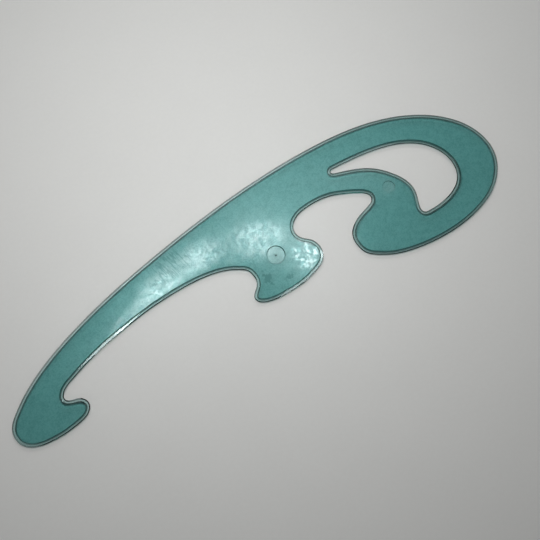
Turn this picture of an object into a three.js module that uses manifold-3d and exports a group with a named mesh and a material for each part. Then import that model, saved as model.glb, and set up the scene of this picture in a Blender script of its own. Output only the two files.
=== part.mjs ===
// A French curve for drawing: one flat moulding in clear tinted plastic, with a thinner inking rim
// that runs half way up its outer edge and round its hole, a gate well and an ejector mark.
// Millimetres, +Z up. The plate lies along X, and the origin is under the middle of its outline.
import * as THREE from "three";
import { mergeVertices } from "three/addons/utils/BufferGeometryUtils.js";
import Module from "manifold-3d";

// Driving dimensions
const LENGTH = 280; // overall, along X: the outline below is drawn for it and follows it
const PLATE_THICKNESS = 1.8;
const RIM_THICKNESS = 0.6;
const RIM_WIDTH = 1.7;
const GATE_WELL_DIAMETER = 9.4;
const GATE_WELL_DEPTH = 0.7;
const GATE_NUB_DIAMETER = 1.2;
const GATE_NUB_TOP_DIAMETER = 0.6;
const GATE_NUB_HEIGHT = 0.3;
const EJECTOR_MARK_DIAMETER = 6.4;
const EJECTOR_MARK_DEPTH = 0.3;

// Each knot of an outline is [x, y, heading in degrees], clockwise seen from above.
const TAIL_TIP = [
  [-139.6, -20.7, 105],
  [-139.3, -14.2, 66],
];
const BACK_EDGE = [
  [-134.3, -8.3, 42],
  [-96.6, 12.2, 20],
  [-49.9, 25.1, 12],
  [53.2, 37.8, 0],
];
const HEAD = [
  [117.2, 24.7, -30],
  [140, -7.5, -89],
  [119.9, -33, -159],
  [89, -37.7, 178],
];
const HEAD_LOBE = [
  [68.7, -34.8, 165],
  [59.2, -30.9, 150],
  [50.6, -22.8, 106],
  [51.1, -13, 58],
  [57.5, -7.7, 27],
];
const BAY = [
  [66.3, -4.6, 21],
  [69.2, -2.6, 58],
  [65.9, 3.3, 150],
  [55, 8.4, 159],
  [41.2, 10.5, -178],
  [26.7, 4.9, -121],
  [27.1, -1.7, -56],
];
const MIDDLE_LOBE = [
  [31.9, -6.5, -59],
  [32.1, -16, -121],
  [21.5, -21.7, -162],
  [5.2, -23.4, -180],
  [-6.7, -21, 150],
  [-8.4, -16.3, 60],
];
const NECK = [
  [-4.4, -11.9, 60],
  [-4.3, -4.8, 110],
  [-9.3, -0.4, 150],
  [-20, 3.5, 169],
];
const TAIL_UNDERSIDE = [
  [-49.6, 4.4, -176],
  [-78.2, 0.1, -169],
  [-103, -7.3, -159],
];
const TAIL_HOOK = [
  [-111.6, -12.8, -115],
  [-110.5, -15.8, -30],
  [-105, -17.7, -30],
  [-102.8, -23.6, -116],
  [-114.1, -28.6, -170],
  [-125.4, -29, 177],
];
const OUTLINE = [
  ...TAIL_TIP,
  ...BACK_EDGE,
  ...HEAD,
  ...HEAD_LOBE,
  ...BAY,
  ...MIDDLE_LOBE,
  ...NECK,
  ...TAIL_UNDERSIDE,
  ...TAIL_HOOK,
];
const HOLE = [
  [58.7, 21, 59],
  [60.4, 21.7, -2],
  [92.6, 18, -15],
  [114.3, 2.9, -62],
  [114.5, -14.5, -124],
  [102.4, -21.5, -167],
  [92.4, -22.5, 179],
  [89.8, -22.1, 150],
  [88.8, -18.4, 76],
  [91.5, -9.1, 86],
  [87.9, 2, 125],
  [76.6, 13, 150],
  [60.4, 19.1, 163],
];
// Places of the two round marks, on the same drawing
const GATE_PLACE = new THREE.Vector2(11.5, -3.5);
const EJECTOR_PLACE = new THREE.Vector2(80.4, -1.4);

// How finely curves become straight sides
const LONGEST_SIDE = 4;
const WIDEST_TURN = THREE.MathUtils.degToRad(8);
const WELL_SIDES = 40;
const NUB_SIDES = 12;

// How far a cut runs past the face that it opens on
const CUT_MARGIN = 1;

// A point of a line beside an edge is dropped where a bend brings it nearer than this share
const LEAST_SHARE = 0.97;

// Turn from one heading to another, between -pi and pi.
function turnBetween(from, to) {
  const degrees = THREE.MathUtils.euclideanModulo(to - from + 180, 360) - 180;
  return THREE.MathUtils.degToRad(degrees);
}

// A cubic curve between two knots, an arc of a circle where their headings allow one.
function curveBetween([x0, y0, heading0], [x1, y1, heading1]) {
  const start = new THREE.Vector2(x0, y0);
  const end = new THREE.Vector2(x1, y1);
  const turn = Math.abs(turnBetween(heading0, heading1));
  const chord = start.distanceTo(end);
  const reach =
    turn === 0 ? chord / 3 : ((2 / 3) * chord * Math.tan(turn / 4)) / Math.sin(turn / 2);
  const ahead = (heading) => {
    const angle = THREE.MathUtils.degToRad(heading);
    return new THREE.Vector2(Math.cos(angle), Math.sin(angle)).multiplyScalar(reach);
  };
  const leave = start.clone().add(ahead(heading0));
  const arrive = end.clone().sub(ahead(heading1));
  return { curve: new THREE.CubicBezierCurve(start, leave, arrive, end), turn };
}

// Points along a closed run of knots, closer together where it turns.
function pointsAlong(knots) {
  return knots.flatMap((knot, i) => {
    const { curve, turn } = curveBetween(knot, knots[(i + 1) % knots.length]);
    const sides = Math.ceil(
      Math.max(curve.getLength() / LONGEST_SIDE, turn / WIDEST_TURN),
    );
    return curve.getPoints(sides).slice(0, -1);
  });
}

// Distance from a point to the nearest side of a closed line.
function distanceToLine(point, line) {
  const nearest = line.map((start, i) => {
    const side = line[(i + 1) % line.length].clone().sub(start);
    const reached = point.clone().sub(start);
    const share = THREE.MathUtils.clamp(reached.dot(side) / side.lengthSq(), 0, 1);
    return reached.sub(side.multiplyScalar(share)).length();
  });
  return Math.min(...nearest);
}

// The line that runs at a distance to the right of a closed line, or to its left if negative.
function lineBeside(line, distance) {
  const moved = line.map((point, i) => {
    const before = line.at(i - 1);
    const after = line[(i + 1) % line.length];
    const along = after.clone().sub(before).setLength(distance);
    return new THREE.Vector2(point.x + along.y, point.y - along.x);
  });
  const least = LEAST_SHARE * Math.abs(distance);
  return moved.filter((point) => distanceToLine(point, line) > least);
}

const wasm = await Module();
wasm.setup();

function toSolid(geometry) {
  geometry.deleteAttribute("normal");
  geometry.deleteAttribute("uv");
  const merged = mergeVertices(geometry);
  return new wasm.Manifold(
    new wasm.Mesh({
      numProp: 3,
      vertProperties: merged.attributes.position.array,
      triVerts: new Uint32Array(merged.index.array),
    }),
  );
}

function toGeometry(solid) {
  const { vertProperties, triVerts } = solid.getMesh();
  const geometry = new THREE.BufferGeometry();
  geometry.setAttribute("position", new THREE.BufferAttribute(vertProperties, 3));
  geometry.setIndex(new THREE.BufferAttribute(triVerts, 1));
  geometry.computeVertexNormals();
  return geometry;
}

// A flat slab of a clockwise edge and a clockwise hole in it, which runs the other way in the shape.
function slab(edge, holeEdge, bottom, thickness) {
  const shape = new THREE.Shape(edge);
  shape.holes.push(new THREE.Path(holeEdge.toReversed()));
  const geometry = new THREE.ExtrudeGeometry(shape, {
    depth: thickness,
    bevelEnabled: false,
  });
  return toSolid(geometry.translate(0, 0, bottom));
}

// An upright round pin that tapers from one diameter to another, standing on a point.
function pin(place, bottom, height, diameter, topDiameter, sides) {
  const geometry = new THREE.CylinderGeometry(topDiameter / 2, diameter / 2, height, sides);
  geometry.rotateX(Math.PI / 2);
  geometry.translate(place.x, place.y, bottom + height / 2);
  return toSolid(geometry);
}

// The drawing, moved over the origin and brought to the overall length
const drawn = pointsAlong(OUTLINE);
const drawnBox = new THREE.Box2().setFromPoints(drawn);
const drawnCentre = drawnBox.getCenter(new THREE.Vector2());
const drawingScale = LENGTH / drawnBox.getSize(new THREE.Vector2()).x;
const placed = (point) => point.clone().sub(drawnCentre).multiplyScalar(drawingScale);

const outerEdge = drawn.map(placed);
const holeEdge = pointsAlong(HOLE).map(placed);
const outerStep = lineBeside(outerEdge, RIM_WIDTH);
const holeStep = lineBeside(holeEdge, -RIM_WIDTH);

function gateWell() {
  const place = placed(GATE_PLACE);
  const floor = PLATE_THICKNESS - GATE_WELL_DEPTH;
  const cut = GATE_WELL_DEPTH + CUT_MARGIN;
  const well = pin(place, floor, cut, GATE_WELL_DIAMETER, GATE_WELL_DIAMETER, WELL_SIDES);
  const nub = pin(
    place,
    floor,
    GATE_NUB_HEIGHT,
    GATE_NUB_DIAMETER,
    GATE_NUB_TOP_DIAMETER,
    NUB_SIDES,
  );
  return well.subtract(nub);
}

function ejectorMark() {
  const place = placed(EJECTOR_PLACE);
  const floor = PLATE_THICKNESS - EJECTOR_MARK_DEPTH;
  const cut = EJECTOR_MARK_DEPTH + CUT_MARGIN;
  return pin(place, floor, cut, EJECTOR_MARK_DIAMETER, EJECTOR_MARK_DIAMETER, WELL_SIDES);
}

function curvePlate() {
  const rimBottom = (PLATE_THICKNESS - RIM_THICKNESS) / 2;
  const rim = slab(outerEdge, holeEdge, rimBottom, RIM_THICKNESS);
  const field = slab(outerStep, holeStep, 0, PLATE_THICKNESS);
  const plate = field.add(rim).subtract(gateWell()).subtract(ejectorMark());
  const plastic = new THREE.MeshStandardMaterial({
    color: 0x4d8783,
    roughness: 0.2,
    metalness: 0,
    transparent: true,
    opacity: 0.8,
  });
  const mesh = new THREE.Mesh(toGeometry(plate), plastic);
  mesh.name = "curve_plate";
  return mesh;
}

const frenchCurve = new THREE.Group();
frenchCurve.add(curvePlate());

export default frenchCurve;
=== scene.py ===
"""A French curve in clear teal plastic, lying on a pale table. Metres, +Z up.

The moulding takes its outline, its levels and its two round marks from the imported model, and rounds
the corners that the model leaves sharp.
"""

import math
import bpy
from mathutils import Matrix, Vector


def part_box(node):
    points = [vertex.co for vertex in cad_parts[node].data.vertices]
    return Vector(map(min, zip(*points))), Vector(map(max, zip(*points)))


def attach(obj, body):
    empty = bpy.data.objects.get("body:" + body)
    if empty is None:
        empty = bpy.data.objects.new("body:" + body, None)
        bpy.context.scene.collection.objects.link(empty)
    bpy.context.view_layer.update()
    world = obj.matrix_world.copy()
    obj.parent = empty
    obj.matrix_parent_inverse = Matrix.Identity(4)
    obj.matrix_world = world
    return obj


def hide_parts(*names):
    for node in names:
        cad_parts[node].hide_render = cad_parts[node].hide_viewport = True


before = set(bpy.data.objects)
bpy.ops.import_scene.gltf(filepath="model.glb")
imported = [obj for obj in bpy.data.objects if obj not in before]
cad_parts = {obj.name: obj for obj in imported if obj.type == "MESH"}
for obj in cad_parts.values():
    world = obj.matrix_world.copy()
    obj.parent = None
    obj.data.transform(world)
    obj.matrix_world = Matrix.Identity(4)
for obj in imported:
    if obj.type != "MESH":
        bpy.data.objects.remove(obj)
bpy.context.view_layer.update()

from types import SimpleNamespace

import bpy
import numpy as np
from mathutils import Vector
from mathutils.geometry import delaunay_2d_cdt

MM = 0.001
WHITE = (1, 1, 1, 1)

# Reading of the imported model
WELD_DIGITS = 7  # decimals of a metre to which the corners of one point agree
SAME = 0.01 * MM  # lengths and levels that differ by less than this are the same
MARK_MARGIN = 1.01  # how far out a mark's corners are looked for, as a share of its radius

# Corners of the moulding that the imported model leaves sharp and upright
STEP_RUN = 0.4 * MM  # how far the rim's steps slope outward on their way to the rim
STEP_ROUND = 0.12 * MM
RIM_FALL = 0.1 * MM  # how far the rim's upper face falls towards its edge
EDGE_ROUND = 0.03 * MM
BEVEL_WIDTH = 0.57 * MM  # under the edge
BEVEL_HEIGHT = 0.44 * MM
WELL_RUN = 0.3 * MM  # how far a mark's wall slopes inward, for each MM of its depth
WELL_ROUND = 0.1 * MM
NUB_ROUND = 0.1 * MM
LAND = 0.005 * MM  # flat strip beside each rounding, which keeps the flats flat when shaded
BORDER = 0.3 * MM  # flat strip between the roundings and the face's grid

# How finely curves become straight sides and faces become triangles
STEPS_PER_SIDE = 3
ARC_STEPS = 5
WELL_SIDES = 96
FACE_GRID = 2.5 * MM
GRID_CLEARANCE = 0.8 * MM
HULL_TRIANGLES = 0  # asks for all triangles, those outside the face too
FILL_TOLERANCE = 1e-6  # in millimetres

# Plastic: it is tinted right through, with haze on its faces and its underside
PLASTIC_IOR = 1.49
TINT_COLOUR = (0.0625, 0.684, 0.674, 1)
TINT_DENSITY = 432
GLOSS_ROUGHNESS = 0.03
HAZE_ROUGHNESS = (0.277, 0.3)  # where the haze is thin and where it is dense
VEIL_ROUGHNESS = 0.29  # of the fine scratches that veil parts of the faces
VEIL_IOR = 2.4
VEIL_RANGE = (0.05, 0.5)  # how dense the veil is between its patches and in them
DAB_VEIL = 0.9  # how dense it is in the dabs
FLAT_PASS = 0.955  # what a level face lets through of the light on its way to the table
STEEP_PASS = 0.05  # what is left of it at a steep face
PASS_LEAN = (0.7, 1)  # upward part of the normal at a steep face and at a level one
SHADE_LEAN = (0.95, 0.75)  # the same where the painted shade begins and where it is full

# Colours of what lies on the plastic, and of the shade painted on it
EDGE_SHADE_COLOUR = (0.06, 0.1, 0.095, 1)  # painted shade on the rim's steps and the edge, where the plastic turns the light aside
EDGE_SHADE_AMOUNT = (0.75, 0.3)  # how much of the painted shade there is on the edge, and in the less shaded spots
RIM_SHADE_COLOUR = (0.84, 0.9, 0.89, 1)  # painted shade on the rim
HEAD_RIM_SHADE_COLOUR = (0.62, 0.7, 0.69, 1)  # darker painted shade on the rim at the head
MARK_WALL_SHADE_COLOUR = (0.012, 0.02, 0.02, 1)  # painted shade on the walls of the two round marks
SHADED_WALL_SIDE = (-0.5, -0.87, 0)  # the way the walls face that take most of the painted shade
SHADED_WALL_FACING = (-0.4, 0.2)  # how far a wall faces that way where its painted shade begins and where it is full
# Grease smudges, painted darker for the sheen that they take away
SMUDGE_AND_SHADE_COLOUR = (0.4, 0.5, 0.5, 1)
SMUDGE_AND_SHADE_RANGE = (0.15, 0.45)  # where a smudge and its painted shade begin and where they are full
DIRT_COLOUR = (0.35, 0.45, 0.45, 1)  # in the scratches
# Stains, which follow the veil's patches and so also paint the sheen's mottling into the colour
STAIN_AND_SHEEN_COLOUR = (0.6, 0.66, 0.66, 1)

# Bands of the plastic's surface, in millimetres of height
FACE_BAND = (0.04, 0.01)  # below a face's level, where its wear begins and where it is full
UNDERSIDE_BAND = (0.02, 0.01)  # the same above the level of the rim's lower face
STEP_BAND = 0.1  # beyond the rim's levels, over which its dust gives way to the steps' grime
MARK_REACH = 1.07  # how far a mark's wear reaches, as a share of its radius
DISC_BLUR = 0.02  # softness of the line round it

# Spots of the plate, seen from above, in millimetres: centre, half sizes and turn in degrees
VEILED_SPOTS = [
    ((-66, 4.5), (18, 7), 17),
    ((-46, 13), (20, 9.5), 14),
    ((-20, 15), (20, 10), 0),
    ((2.5, 8.5), (24, 12), -8),
    ((80.2, -1.45), (5, 5), 0),
]
DABBED_SPOTS = [
    ((-50, 11), (15, 7), 14),
    ((-19.5, 14.5), (13, 8), 5),
    ((24.5, -10.5), (8, 9.5), 0),
]
# Grease smudges, also painted shade where they take the sheen away
SMUDGES_AND_SHADE = [
    ((2, -12), (4, 8), 0),
    ((12, -17), (4.5, 3), 20),
]
HATCHED_SPOTS = [((-38, 17.5), (18, 9), 10)]
# Where the rim and the edge get less painted shade
LESS_SHADED_SPOTS = [((-40, 24), (115, 14), 13)]
# Where the rim gets the head's darker painted shade
HEAD_SHADE_SPOTS = [((100, -5), (65, 60), 0)]

# Noise: lumps for each millimetre, detail, roughness, and the range that is spread from 0 to 1
HAZE_NOISE = (0.4, 2, 0.5, (0.35, 0.65))
PATCH_NOISE = (0.35, 4, 0.7, (0.38, 0.62))
CLUSTER_NOISE = (0.25, 1, 0.5, (0.42, 0.56))
DAB_NOISE = (0.7, 4, 0.6, (0.47, 0.57))
GRAIN_NOISE = (1.5, 0, 0.5, (0.35, 0.65))
SMUDGE_AND_SHADE_NOISE = (0.5, 4, 0.6, (0.3, 0.7))
TABLE_CLOUD_NOISE = (0.03, 3, 0.6, (0.3, 0.7))
TABLE_GRAIN_NOISE = (0.5, 3, 0.6, (0.3, 0.7))

# Relief of the faces: waves, smaller ripples and lines
RELIEF = 0.12 * MM
WAVES = 0.22  # lumps for each millimetre
RIPPLES = 0.6
RIPPLE_SHARE = 0.3  # their height, as a share of the waves'
LINE_DEPTH = 0.15  # the same for the lines
LINE_BREAK = 0.6  # how much of the veil a line takes away
# Lines: spacing and length in millimetres, turn in degrees, and width as a share of the noise
HATCHING = ((1.7, 9), 16, 0.07)
SCRATCHES = ((6, 30), 62, 0.012)
SCRATCH_SHARE = 0.15  # how strong they are beside the hatching
LINE_NOISE = (1, 2, 0.4)  # lumps for each spacing and length, detail and roughness
NOISE_MIDDLE = 0.5  # the level of the noise that the lines follow

# Table and camera
TABLE_COLOUR = (0.81, 0.815, 0.795, 1)
TABLE_WEAR_COLOUR = (0.79, 0.795, 0.775, 1)
TABLE_ROUGHNESS = (0.65, 0.75)  # where it is plain and where it is worn
TABLE_RELIEF = 0.05 * MM
TABLE_BUMP = 0.1
TABLE_SIZE = 4
TABLE_GAP = 0.03 * MM  # between the table and the plate
PICTURE_TURN = math.radians(-30)
CAMERA_PLACE = Vector((-23.3, -57.8, 267.4)) * MM
CAMERA_TILT = math.radians(12)
CAMERA_LENS = 36.07  # a camera's own lengths are in millimetres
CAMERA_SENSOR = 36
CLIP_START = 10 * MM

# Lamps hang level: place and size in millimetres, turn in degrees and power in watts
SOFT_LAMPS = {
    "key": ((7, 64, 290), (150, 110), -30, 0.51),
    "window": ((450, 780, 450), (500, 300), -30, 4.5),
}
# Cards are lamps that only gloss and glass show
GLOSS_CARDS = {
    "arm_card": ((-50.2, 25.1, 80), (88, 10.4), 22, 0.035),
    "lobe_card": ((31, 17, 80), (78, 22), -43, 0.034),
    "head_card": ((67.5, 48, 100), (137, 37), -14, 0.019),
    "lobe_rim_card": ((38.5, -12.3, 60), (34, 13.8), 30, 0.006),
    "lobe_foot_card": ((27, -20.6, 60), (48, 3), 11, 0.0017),
    "tail_rim_card": ((-92.4, 6, 60), (56, 4), 14, 0.0055),
}
CARD_COLOUR = (0.88, 0.99, 1)

# Light of the room
ZENITH_STRENGTH = 0.09
HORIZON_STRENGTH = 0.62
HORIZON_FALL = 4  # how quickly it fades upward from the horizon


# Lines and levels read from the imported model


def area(loop):
    x, y = loop.T
    return 0.5 * float(np.sum(x * np.roll(y, -1) - y * np.roll(x, -1)))


def flat_loops(corners, triangles, level):
    """Closed lines round the flat faces at one level, the largest first, with plastic on their left."""
    flat = triangles[(np.abs(corners[triangles, 2] - level) < SAME).all(axis=1)]
    sides = {(a, b) for tri in flat.tolist() for a, b in zip(tri, tri[1:] + tri[:1])}
    following = {a: b for a, b in sides if (b, a) not in sides}
    loops = []
    while following:
        loop = [min(following)]
        while loop[-1] in following:
            loop.append(following.pop(loop[-1]))
        loops.append(corners[loop[:-1], :2])
    return sorted(loops, key=lambda loop: -abs(area(loop)))


def circle_of(loop):
    """Centre and radius of a round loop."""
    centre = loop.mean(axis=0)
    return centre, float(np.linalg.norm(loop - centre, axis=1).mean())


def mark_below(corners, circle):
    """A round mark: its centre, radius and floor level, and its nub's foot radius, tip radius and top."""
    centre, radius = circle
    away = np.linalg.norm(corners[:, :2] - centre, axis=1)
    floor = corners[away < radius * MARK_MARGIN, 2].min()
    raised = (away < radius / 2) & (corners[:, 2] > floor + SAME)
    nub = None
    if raised.any():
        foot = away[(away < radius / 2) & ~raised].max()
        nub = float(foot), float(away[raised].max()), float(corners[raised, 2].max())
    return {"centre": centre, "radius": radius, "floor": floor, "nub": nub}


def smooth_line(points):
    """Points and leftward normals along the closed cubic spline through a loop's points."""
    count = len(points)
    ahead = np.roll(points, -1, axis=0)
    length = np.linalg.norm(ahead - points, axis=1)
    slope = (ahead - points) / length[:, None]
    rows = np.arange(count)
    system = np.zeros((count, count))
    system[rows, rows] = 2 * (length + np.roll(length, 1))
    system[rows, rows - 1] += np.roll(length, 1)
    system[rows, (rows + 1) % count] += length
    bend = np.linalg.solve(system, 6 * (slope - np.roll(slope, 1, axis=0)))
    next_bend = np.roll(bend, -1, axis=0)
    line, heading = [], []
    for step in range(STEPS_PER_SIDE):
        done = (length * step / STEPS_PER_SIDE)[:, None]
        left = length[:, None] - done
        whole = length[:, None]
        line.append(
            (bend * left**3 + next_bend * done**3) / (6 * whole)
            + (points / whole - bend * whole / 6) * left
            + (ahead / whole - next_bend * whole / 6) * done
        )
        heading.append(
            (next_bend * done**2 - bend * left**2) / (2 * whole)
            + slope
            - (next_bend - bend) * whole / 6
        )
    line = np.stack(line, axis=1).reshape(-1, 2)
    line = np.clip(line, points.min(axis=0), points.max(axis=0))  # stays inside the model's box
    heading = np.stack(heading, axis=1).reshape(-1, 2)
    heading /= np.linalg.norm(heading, axis=1)[:, None]
    return line, np.stack([-heading[:, 1], heading[:, 0]], axis=1)


def read_plate(node):
    """Levels, edge lines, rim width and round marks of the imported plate."""
    mesh = node.data
    points = np.array([v.co for v in mesh.vertices])
    corners, welded = np.unique(points.round(WELD_DIGITS), axis=0, return_inverse=True)
    triangles = welded.reshape(-1)[np.array([p.vertices for p in mesh.polygons])]
    low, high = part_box(node.name)
    tip = corners[corners[:, 0] > high.x - SAME]
    rim_top = tip[:, 2].max()
    outer, outer_step, _, hole = flat_loops(corners, triangles, rim_top)
    _, _, *marks = flat_loops(corners, triangles, high.z)
    rim_width = np.linalg.norm(outer[:, None] - outer_step[None, :], axis=2).min()
    return {
        "bottom": low.z,
        "top": high.z,
        "rim_bottom": tip[:, 2].min(),
        "rim_top": rim_top,
        "rim_width": rim_width,
        "edges": [smooth_line(outer), smooth_line(hole)],
        "marks": [mark_below(corners, circle_of(loop)) for loop in marks],
    }


# Mesh of the moulding


def rounded(corners):
    """A line through corners given as (across, level, rounding), with a short curve at each."""
    points = [np.array(corner[:2]) for corner in corners]
    line = [points[0]]
    for i in range(1, len(points) - 1):
        back = points[i - 1] - points[i]
        back /= np.linalg.norm(back)
        on = points[i + 1] - points[i]
        on /= np.linalg.norm(on)
        reach = corners[i][2]
        line.append(points[i] + back * (reach + LAND))
        for share in np.linspace(0, 1, ARC_STEPS + 1):
            line.append(points[i] + back * reach * (1 - share) ** 2 + on * reach * share**2)
        line.append(points[i] + on * (reach + LAND))
    return line + [points[-1]]


def edge_profile(plate):
    """(distance in from the edge, level) from the upper face round the edge to the lower face."""
    head = plate["rim_width"] + STEP_RUN / 2
    foot = plate["rim_width"] - STEP_RUN / 2
    return rounded(
        [
            (head + STEP_ROUND + BORDER, plate["top"], 0),
            (head, plate["top"], STEP_ROUND),
            (foot, plate["rim_top"], STEP_ROUND),
            (0, plate["rim_top"] - RIM_FALL, EDGE_ROUND),
            (0, plate["rim_bottom"] + BEVEL_HEIGHT, EDGE_ROUND / 2),
            (BEVEL_WIDTH, plate["rim_bottom"], EDGE_ROUND),
            (foot, plate["rim_bottom"], STEP_ROUND),
            (head, plate["bottom"], STEP_ROUND),
            (head + STEP_ROUND + BORDER, plate["bottom"], 0),
        ]
    )


def mark_profile(mark, top):
    """(radius, level) from the upper face down the wall of a round mark to a ring round its middle."""
    radius, floor = mark["radius"], mark["floor"]
    run = WELL_RUN * (top - floor) / MM
    wall = [
        (radius + WELL_ROUND + BORDER, top, 0),
        (radius, top, WELL_ROUND),
        (radius - run, floor, WELL_ROUND),
    ]
    if not mark["nub"]:
        return rounded([*wall, (radius / 2, floor, 0)])
    foot_radius, tip_radius, tip = mark["nub"]
    return rounded(
        [
            *wall,
            (foot_radius, floor, NUB_ROUND),
            (tip_radius, tip, NUB_ROUND),
            (tip_radius / 4, tip, 0),
        ]
    )


def inside_loop(points, loop):
    """Which points lie inside a closed line."""
    x, y = points[:, :1], points[:, 1:]
    x0, y0 = loop.T
    x1, y1 = np.roll(loop, -1, axis=0).T
    spans = (y0 > y) != (y1 > y)
    rise = np.where(y1 == y0, 1, y1 - y0)
    crossed = spans & (x < x0 + (y - y0) * (x1 - x0) / rise)
    return crossed.sum(axis=1) % 2 == 1


def inside_face(points, loops):
    """Which points lie inside the first loop and outside the others."""
    inside = inside_loop(points, loops[0])
    for loop in loops[1:]:
        inside &= ~inside_loop(points, loop)
    return inside


def grid_inside(loops):
    """Points of a square grid on a face, clear of its borders."""
    low, high = loops[0].min(axis=0), loops[0].max(axis=0)
    across, up = np.meshgrid(
        np.arange(low[0], high[0], FACE_GRID),
        np.arange(low[1], high[1], FACE_GRID),
    )
    grid = np.stack([across.ravel(), up.ravel()], axis=1)
    grid = grid[inside_face(grid, loops)]
    border = np.concatenate(loops)
    nearest = np.array([np.linalg.norm(border - p, axis=1).min() for p in grid])
    return grid[nearest > GRID_CLEARANCE]


class MeshParts:
    """Vertices and faces of one mesh, gathered ring by ring."""

    def __init__(self):
        self.vertices = []
        self.faces = []

    def ring(self, line, level):
        """Adds a line of points at one level and gives their vertex numbers."""
        start = len(self.vertices)
        self.vertices += [(x, y, level) for x, y in line]
        return list(range(start, len(self.vertices)))

    def join(self, left, right):
        """Fills the strip between two rings, on the left and right along their way seen from outside."""
        for i in range(len(left)):
            j = (i + 1) % len(left)
            self.faces.append((right[i], right[j], left[j], left[i]))

    def sweep(self, lines, levels):
        """Joins one ring to the next on its right, and gives the first and the last."""
        rings = [self.ring(line, level) for line, level in zip(lines, levels)]
        for left, right in zip(rings, rings[1:]):
            self.join(left, right)
        return rings[0], rings[-1]

    def fill(self, rings, level, upward):
        """Fills a flat face between its outer ring, which comes first, and the rings inside it."""
        loops = [np.array([self.vertices[v][:2] for v in ring]) for ring in rings]
        grid = grid_inside(loops)
        grid_numbers = self.ring(grid, level)
        numbers = [v for ring in rings for v in ring] + grid_numbers
        starts = np.cumsum([0] + [len(ring) for ring in rings])
        sides = [
            (start + i, start + (i + 1) % len(ring))
            for start, ring in zip(starts.tolist(), rings)
            for i in range(len(ring))
        ]
        points = np.concatenate([*loops, grid]) / MM
        flat = [Vector(p) for p in points.tolist()]
        filled = delaunay_2d_cdt(flat, sides, [], HULL_TRIANGLES, FILL_TOLERANCE)
        triangles = np.array(filled[2])
        centres = points[triangles].mean(axis=1) * MM
        kept = triangles[inside_face(centres, loops)]
        turned = kept if upward else kept[:, ::-1]
        self.faces += [tuple(numbers[v] for v in tri) for tri in turned.tolist()]


def add_mark(parts, mark, top):
    """Adds a round mark's wall and floor and gives the ring where it meets the upper face."""
    turns = np.linspace(0, 2 * math.pi, WELL_SIDES, endpoint=False)
    around = np.stack([np.cos(turns), -np.sin(turns)], axis=1)
    profile = mark_profile(mark, top)
    rings = [mark["centre"] + around * radius for radius, _ in profile]
    first, last = parts.sweep(rings, [level for _, level in profile])
    middle = len(parts.vertices)
    parts.vertices.append((*mark["centre"], profile[-1][1]))
    for i, v in enumerate(last):
        parts.faces.append((last[(i + 1) % WELL_SIDES], v, middle))
    return first


def plate_mesh(plate):
    parts = MeshParts()
    profile = edge_profile(plate)
    levels = [level for _, level in profile]
    upper_rings, lower_rings = [], []
    for line, inward in plate["edges"]:
        rings = [line + inward * across for across, _ in profile]
        first, last = parts.sweep(rings, levels)
        upper_rings.append(first)
        lower_rings.append(last)
    for mark in plate["marks"]:
        upper_rings.append(add_mark(parts, mark, plate["top"]))
    parts.fill(upper_rings, plate["top"], upward=True)
    parts.fill(lower_rings, plate["bottom"], upward=False)
    mesh = bpy.data.meshes.new("curve_plate_moulding")
    mesh.from_pydata(parts.vertices, [], parts.faces)
    mesh.validate()
    mesh.shade_smooth()
    return mesh


# Materials


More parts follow.
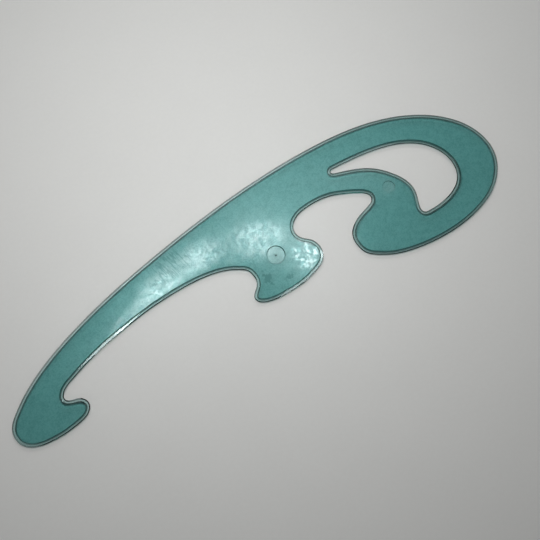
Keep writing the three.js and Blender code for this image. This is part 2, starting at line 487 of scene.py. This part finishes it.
class Nodes:
    """A short way to add nodes to a material or a world and link them. Places are in millimetres."""

    def __init__(self, owner):
        owner.use_nodes = True
        self.tree = owner.node_tree
        self.tree.nodes.clear()

    def put(self, socket, value):
        """Links another socket to a socket, or sets a value there."""
        if isinstance(value, bpy.types.NodeSocket):
            self.tree.links.new(value, socket)
        else:
            socket.default_value = value

    def add(self, kind, settings=None, **inputs):
        """Adds a node and fills the inputs that are named, with _ for a space."""
        node = self.tree.nodes.new(kind)
        for name, value in (settings or {}).items():
            setattr(node, name, value)
        for name, value in inputs.items():
            self.put(node.inputs[name.replace("_", " ")], value)
        return node

    def math(self, operation, *values):
        node = self.add("ShaderNodeMath", {"operation": operation})
        for socket, value in zip(node.inputs, values):
            self.put(socket, value)
        return node.outputs[0]

    def product(self, first, second):
        return self.math("MULTIPLY", first, second)

    def larger(self, first, second):
        return self.math("MAXIMUM", first, second)

    def rest(self, share):
        """What a share leaves of 1."""
        return self.math("SUBTRACT", 1.0, share)

    def remap(self, value, start, end, to_start=0.0, to_end=1.0):
        """value eased from start..end to to_start..to_end."""
        node = self.add("ShaderNodeMapRange", {"interpolation_type": "SMOOTHSTEP"})
        for socket, given in zip(node.inputs, (value, start, end, to_start, to_end)):
            self.put(socket, given)
        return node.outputs[0]

    def blend(self, share, first, second):
        """A number that goes from first to second as share goes from 0 to 1."""
        node = self.add("ShaderNodeMix")
        number_sockets = 0, 2, 3
        for socket, value in zip(number_sockets, (share, first, second)):
            self.put(node.inputs[socket], value)
        return node.outputs[0]

    def tint(self, share, first, second):
        """The same for colours."""
        node = self.add("ShaderNodeMix", {"data_type": "RGBA"})
        colour_sockets = 0, 6, 7
        for socket, value in zip(colour_sockets, (share, first, second)):
            self.put(node.inputs[socket], value)
        return node.outputs[2]

    def mix_shader(self, share, first, second):
        """The same for shaders, given as nodes."""
        node = self.add("ShaderNodeMixShader", Fac=share)
        self.put(node.inputs[1], first.outputs[0])
        self.put(node.inputs[2], second.outputs[0])
        return node

    def upward(self, vector):
        """The Z part of a vector."""
        return self.add("ShaderNodeSeparateXYZ", Vector=vector).outputs["Z"]

    def millimetres(self):
        """The place on the object."""
        place = self.add("ShaderNodeTexCoord").outputs["Object"]
        node = self.add("ShaderNodeVectorMath", {"operation": "SCALE"}, Vector=place, Scale=1 / MM)
        return node.outputs[0]

    def moved(self, place, centre, size, turn):
        """place seen from a centre, turned by degrees, with size as its unit."""
        node = self.add(
            "ShaderNodeMapping",
            {"vector_type": "TEXTURE"},
            Vector=place,
            Location=(*centre, 0),
            Rotation=(0, 0, math.radians(turn)),
            Scale=(*size, 1),
        )
        return node.outputs[0]

    def noise(self, place, scale, detail, roughness=0.5):
        """Noise with scale in lumps for each millimetre."""
        node = self.add(
            "ShaderNodeTexNoise", Vector=place, Scale=scale, Detail=detail, Roughness=roughness
        )
        return node.outputs["Fac"]

    def cloud(self, place, scale, detail, roughness, spread):
        """Noise of which one range is spread from 0 to 1."""
        return self.remap(self.noise(place, scale, detail, roughness), *spread)

    def hairlines(self, place, size, turn, width):
        """1 along thin wandering lines, with size as their spacing and length."""
        field = self.noise(self.moved(place, (0, 0), size, turn), *LINE_NOISE)
        away = self.math("ABSOLUTE", self.math("SUBTRACT", field, NOISE_MIDDLE))
        return self.remap(away, width, 0.0)

    def spot(self, place, centre, size, turn):
        """1 in the middle of an oval, seen from above, and 0 at its border."""
        flat = self.add("ShaderNodeVectorMath", {"operation": "MULTIPLY"})
        self.put(flat.inputs[0], self.moved(place, centre, size, turn))
        flat.inputs[1].default_value = (1, 1, 0)
        return self.add(
            "ShaderNodeTexGradient", {"gradient_type": "SPHERICAL"}, Vector=flat.outputs[0]
        ).outputs["Fac"]

    def largest_spot(self, place, spots):
        best = 0.0
        for spot in spots:
            best = self.larger(best, self.spot(place, *spot))
        return best

    def inside(self, place, spots, border):
        """1 inside ovals, eased to 0 over a border that is a share of their half sizes."""
        return self.remap(self.largest_spot(place, spots), 0.0, border)

    def disc(self, place, centre, radius):
        """1 inside a circle, seen from above, and 0 outside it."""
        oval = self.spot(place, centre, (2 * radius, 2 * radius), 0)  # a half at the circle
        return self.remap(oval, 0.5 - DISC_BLUR, 0.5 + DISC_BLUR)


def plate_regions(nodes, plate):
    """The place on the plate, its normal, and shares from 0 to 1 for the regions of its surface."""
    place = nodes.millimetres()
    level = nodes.upward(place)
    middle = (plate["bottom"] + plate["top"]) / 2 / MM
    half = (plate["top"] - plate["bottom"]) / 2 / MM
    rim_half = (plate["rim_top"] - plate["rim_bottom"]) / 2 / MM
    rim_bottom = plate["rim_bottom"] / MM
    from_middle = nodes.math("ABSOLUTE", nodes.math("SUBTRACT", level, middle))
    flats = nodes.remap(from_middle, *(half - depth for depth in FACE_BAND))
    marks = 0.0
    for mark in plate["marks"]:
        disc = nodes.disc(place, mark["centre"] / MM, mark["radius"] / MM * MARK_REACH)
        marks = nodes.larger(marks, disc)
    normal = nodes.add("ShaderNodeNewGeometry").outputs["Normal"]
    return SimpleNamespace(
        place=place,
        normal=normal,
        lean=nodes.math("ABSOLUTE", nodes.upward(normal)),
        marks=marks,
        faces=nodes.larger(marks, flats),
        underside=nodes.remap(level, *(rim_bottom + height for height in UNDERSIDE_BAND)),
        rim=nodes.remap(from_middle, rim_half + STEP_BAND, rim_half),
        less_shaded=nodes.inside(place, LESS_SHADED_SPOTS, border=0.2),
    )


def plastic_dabs(nodes, region):
    """1 in little dabs of dense scratches, which lie in clusters."""
    clusters = nodes.cloud(region.place, *CLUSTER_NOISE)
    dabs = nodes.product(nodes.cloud(region.place, *DAB_NOISE), clusters)
    return nodes.product(nodes.inside(region.place, DABBED_SPOTS, border=0.4), dabs)


def plastic_lines(nodes, region):
    """1 along the hatching across the arm, and less along the scratches on the faces."""
    hatched = nodes.inside(region.place, HATCHED_SPOTS, border=0.5)
    hatching = nodes.product(nodes.hairlines(region.place, *HATCHING), hatched)
    scratches = nodes.product(nodes.hairlines(region.place, *SCRATCHES), SCRATCH_SHARE)
    return nodes.product(nodes.larger(hatching, scratches), region.faces)


def plastic_roughness(nodes, region):
    """Cloudy haze on the faces and the underside, and gloss elsewhere."""
    haze = nodes.blend(nodes.cloud(region.place, *HAZE_NOISE), *HAZE_ROUGHNESS)
    hazy = nodes.larger(region.faces, region.underside)
    return nodes.blend(hazy, GLOSS_ROUGHNESS, haze)


def plastic_veil(nodes, region, patches, dabs, lines):
    """Density of the fine scratches that veil the faces, in patches and dabs and beside the lines."""
    veiled = nodes.inside(region.place, VEILED_SPOTS, border=0.5)
    veil = nodes.product(veiled, nodes.remap(patches, 0, 1, *VEIL_RANGE))
    veil = nodes.larger(veil, nodes.product(dabs, DAB_VEIL))
    unbroken = nodes.rest(nodes.product(lines, LINE_BREAK))
    return nodes.product(nodes.product(veil, unbroken), region.faces)


def plastic_bump(nodes, region, lines):
    """Normal of the uneven faces, with the lines cut into them."""
    waves = nodes.noise(region.place, WAVES, 0)
    ripples = nodes.noise(region.place, RIPPLES, 0)
    relief = nodes.math("MULTIPLY_ADD", ripples, RIPPLE_SHARE, waves)
    height = nodes.math("SUBTRACT", relief, nodes.product(lines, LINE_DEPTH))
    bump = nodes.add("ShaderNodeBump", Strength=region.faces, Distance=RELIEF, Height=height)
    return bump.outputs[0]


def plastic_painted_shade(nodes, region):
    """How much painted shade darkens steep surfaces: the steps, the edge and one side of the marks'
    walls.
    """
    # Painted shade on the edge, lighter in the less shaded spots
    edge_shade = nodes.remap(region.less_shaded, 0, 1, *EDGE_SHADE_AMOUNT)
    shade_amount = nodes.blend(region.rim, 1.0, edge_shade)
    # The marks' walls are shaded on the side that faces one way
    facing = nodes.add("ShaderNodeVectorMath", {"operation": "DOT_PRODUCT"}, Vector=region.normal)
    facing.inputs[1].default_value = SHADED_WALL_SIDE
    shade_amount = nodes.blend(region.marks, shade_amount, nodes.remap(facing.outputs["Value"], *SHADED_WALL_FACING))
    return nodes.product(nodes.remap(region.lean, *SHADE_LEAN), shade_amount)


def plastic_colour(nodes, region, patches, dabs, lines):
    """Painted shade on the rim, stains and smudges on the faces that also paint the sheen's light and
    shade, dirt in the lines, and painted shade on the steps, the edge and the marks' walls.
    """
    # Painted shade on the rim: darker at the head and none in the less shaded spots
    head_shaded = nodes.inside(region.place, HEAD_SHADE_SPOTS, border=0.25)
    rim_shade_colour = nodes.tint(head_shaded, RIM_SHADE_COLOUR, HEAD_RIM_SHADE_COLOUR)
    rim_shade_colour = nodes.tint(region.less_shaded, rim_shade_colour, WHITE)
    colour = nodes.tint(region.rim, WHITE, rim_shade_colour)

    # Stains: random grain, and darker where the veil's patches and dabs are thin, which paints the
    # sheen's mottling
    grain = nodes.cloud(region.place, *GRAIN_NOISE)
    lighter_share = nodes.larger(nodes.blend(0.5, grain, patches), dabs)
    stain_and_sheen = nodes.product(nodes.rest(lighter_share), region.faces)
    colour = nodes.tint(stain_and_sheen, colour, STAIN_AND_SHEEN_COLOUR)

    # Grease smudges, painted darker for the sheen that they take away
    smudged_and_shaded = nodes.largest_spot(region.place, SMUDGES_AND_SHADE)
    smudge_and_shade = nodes.product(smudged_and_shaded, nodes.cloud(region.place, *SMUDGE_AND_SHADE_NOISE))
    colour = nodes.tint(nodes.remap(smudge_and_shade, *SMUDGE_AND_SHADE_RANGE), colour, SMUDGE_AND_SHADE_COLOUR)

    colour = nodes.tint(lines, colour, DIRT_COLOUR)
    # Painted shade on the steps, the edge and the marks' walls
    shade_colour = nodes.tint(region.marks, EDGE_SHADE_COLOUR, MARK_WALL_SHADE_COLOUR)
    return nodes.tint(plastic_painted_shade(nodes, region), colour, shade_colour)


def plastic_material(plate):
    material = bpy.data.materials.new("clear_teal_plastic")
    nodes = Nodes(material)
    region = plate_regions(nodes, plate)
    patches = nodes.cloud(region.place, *PATCH_NOISE)
    dabs = plastic_dabs(nodes, region)
    lines = plastic_lines(nodes, region)
    body = nodes.add(
        "ShaderNodeBsdfPrincipled",
        Base_Color=plastic_colour(nodes, region, patches, dabs, lines),
        Roughness=plastic_roughness(nodes, region),
        IOR=PLASTIC_IOR,
        Transmission_Weight=1,
        Coat_Weight=plastic_veil(nodes, region, patches, dabs, lines),
        Coat_Roughness=VEIL_ROUGHNESS,
        Coat_IOR=VEIL_IOR,
        Normal=plastic_bump(nodes, region, lines),
    )

    # Light on its way to the table goes straight through, and steep faces hold most of it back
    path = nodes.add("ShaderNodeLightPath")
    through = nodes.larger(path.outputs["Is Shadow Ray"], path.outputs["Is Diffuse Ray"])
    passed = nodes.remap(region.lean, *PASS_LEAN, STEEP_PASS, FLAT_PASS)
    clear = nodes.add("ShaderNodeBsdfTransparent", Color=passed)
    surface = nodes.mix_shader(through, body, clear)
    tint = nodes.add("ShaderNodeVolumeAbsorption", Color=TINT_COLOUR, Density=TINT_DENSITY)
    nodes.add("ShaderNodeOutputMaterial", Surface=surface.outputs[0], Volume=tint.outputs[0])
    return material


def table_material():
    material = bpy.data.materials.new("pale_table")
    nodes = Nodes(material)
    place = nodes.millimetres()
    grain = nodes.cloud(place, *TABLE_GRAIN_NOISE)
    wear = nodes.blend(0.5, nodes.cloud(place, *TABLE_CLOUD_NOISE), grain)
    bump = nodes.add("ShaderNodeBump", Strength=TABLE_BUMP, Distance=TABLE_RELIEF, Height=grain)
    body = nodes.add(
        "ShaderNodeBsdfPrincipled",
        Base_Color=nodes.tint(wear, TABLE_COLOUR, TABLE_WEAR_COLOUR),
        Roughness=nodes.remap(wear, 0, 1, *TABLE_ROUGHNESS),
        Normal=bump.outputs[0],
    )
    nodes.add("ShaderNodeOutputMaterial", Surface=body.outputs[0])
    return material


# Stage


def add_object(name, data):
    made = bpy.data.objects.new(name, data)
    bpy.context.scene.collection.objects.link(made)
    return made


def add_table():
    half = TABLE_SIZE / 2
    mesh = bpy.data.meshes.new("table")
    corners = [(-half, -half), (half, -half), (half, half), (-half, half)]
    mesh.from_pydata([(x, y, -TABLE_GAP) for x, y in corners], [], [(0, 1, 2, 3)])
    mesh.materials.append(table_material())
    add_object("table", mesh)


def add_camera():
    data = bpy.data.cameras.new("camera")
    data.sensor_width = CAMERA_SENSOR
    data.lens = CAMERA_LENS
    data.clip_start = CLIP_START
    camera = add_object("camera", data)
    camera.location = CAMERA_PLACE
    camera.rotation_euler = (CAMERA_TILT, 0, PICTURE_TURN)
    bpy.context.scene.camera = camera


def add_lamp(name, place, size, turn, power):
    data = bpy.data.lights.new(name, "AREA")
    data.shape = "ELLIPSE"
    data.size, data.size_y = (side * MM for side in size)
    data.energy = power
    lamp = add_object(name, data)
    lamp.location = Vector(place) * MM
    lamp.rotation_euler = (0, 0, math.radians(turn))
    lamp.visible_camera = False
    return lamp


def add_lamps():
    """Soft lamps that gloss and glass don't show, and cards that only they show."""
    for name, soft in SOFT_LAMPS.items():
        lamp = add_lamp(name, *soft)
        lamp.visible_glossy = False
        lamp.visible_transmission = False
    for name, card in GLOSS_CARDS.items():
        lamp = add_lamp(name, *card)
        lamp.data.color = CARD_COLOUR
        lamp.visible_diffuse = False


def add_room():
    """Light from all round, stronger towards the horizon."""
    world = bpy.data.worlds.new("room")
    bpy.context.scene.world = world
    nodes = Nodes(world)
    direction = nodes.add("ShaderNodeTexCoord").outputs["Generated"]
    lowness = nodes.rest(nodes.math("ABSOLUTE", nodes.upward(direction)))
    glow = nodes.math("POWER", lowness, HORIZON_FALL)
    strength = nodes.blend(glow, ZENITH_STRENGTH, HORIZON_STRENGTH)
    sky = nodes.add("ShaderNodeBackground", Strength=strength, Color=WHITE)
    nodes.add("ShaderNodeOutputWorld", Surface=sky.outputs[0])


def add_plate():
    measured = read_plate(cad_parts["curve_plate"])
    mesh = plate_mesh(measured)
    mesh.materials.append(plastic_material(measured))
    plate = add_object("curve_plate_moulding", mesh)
    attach(plate, "root")
    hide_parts("curve_plate")


add_camera()
add_lamps()
add_room()
add_table()
add_plate()
bpy.context.scene.view_settings.view_transform = "Standard"
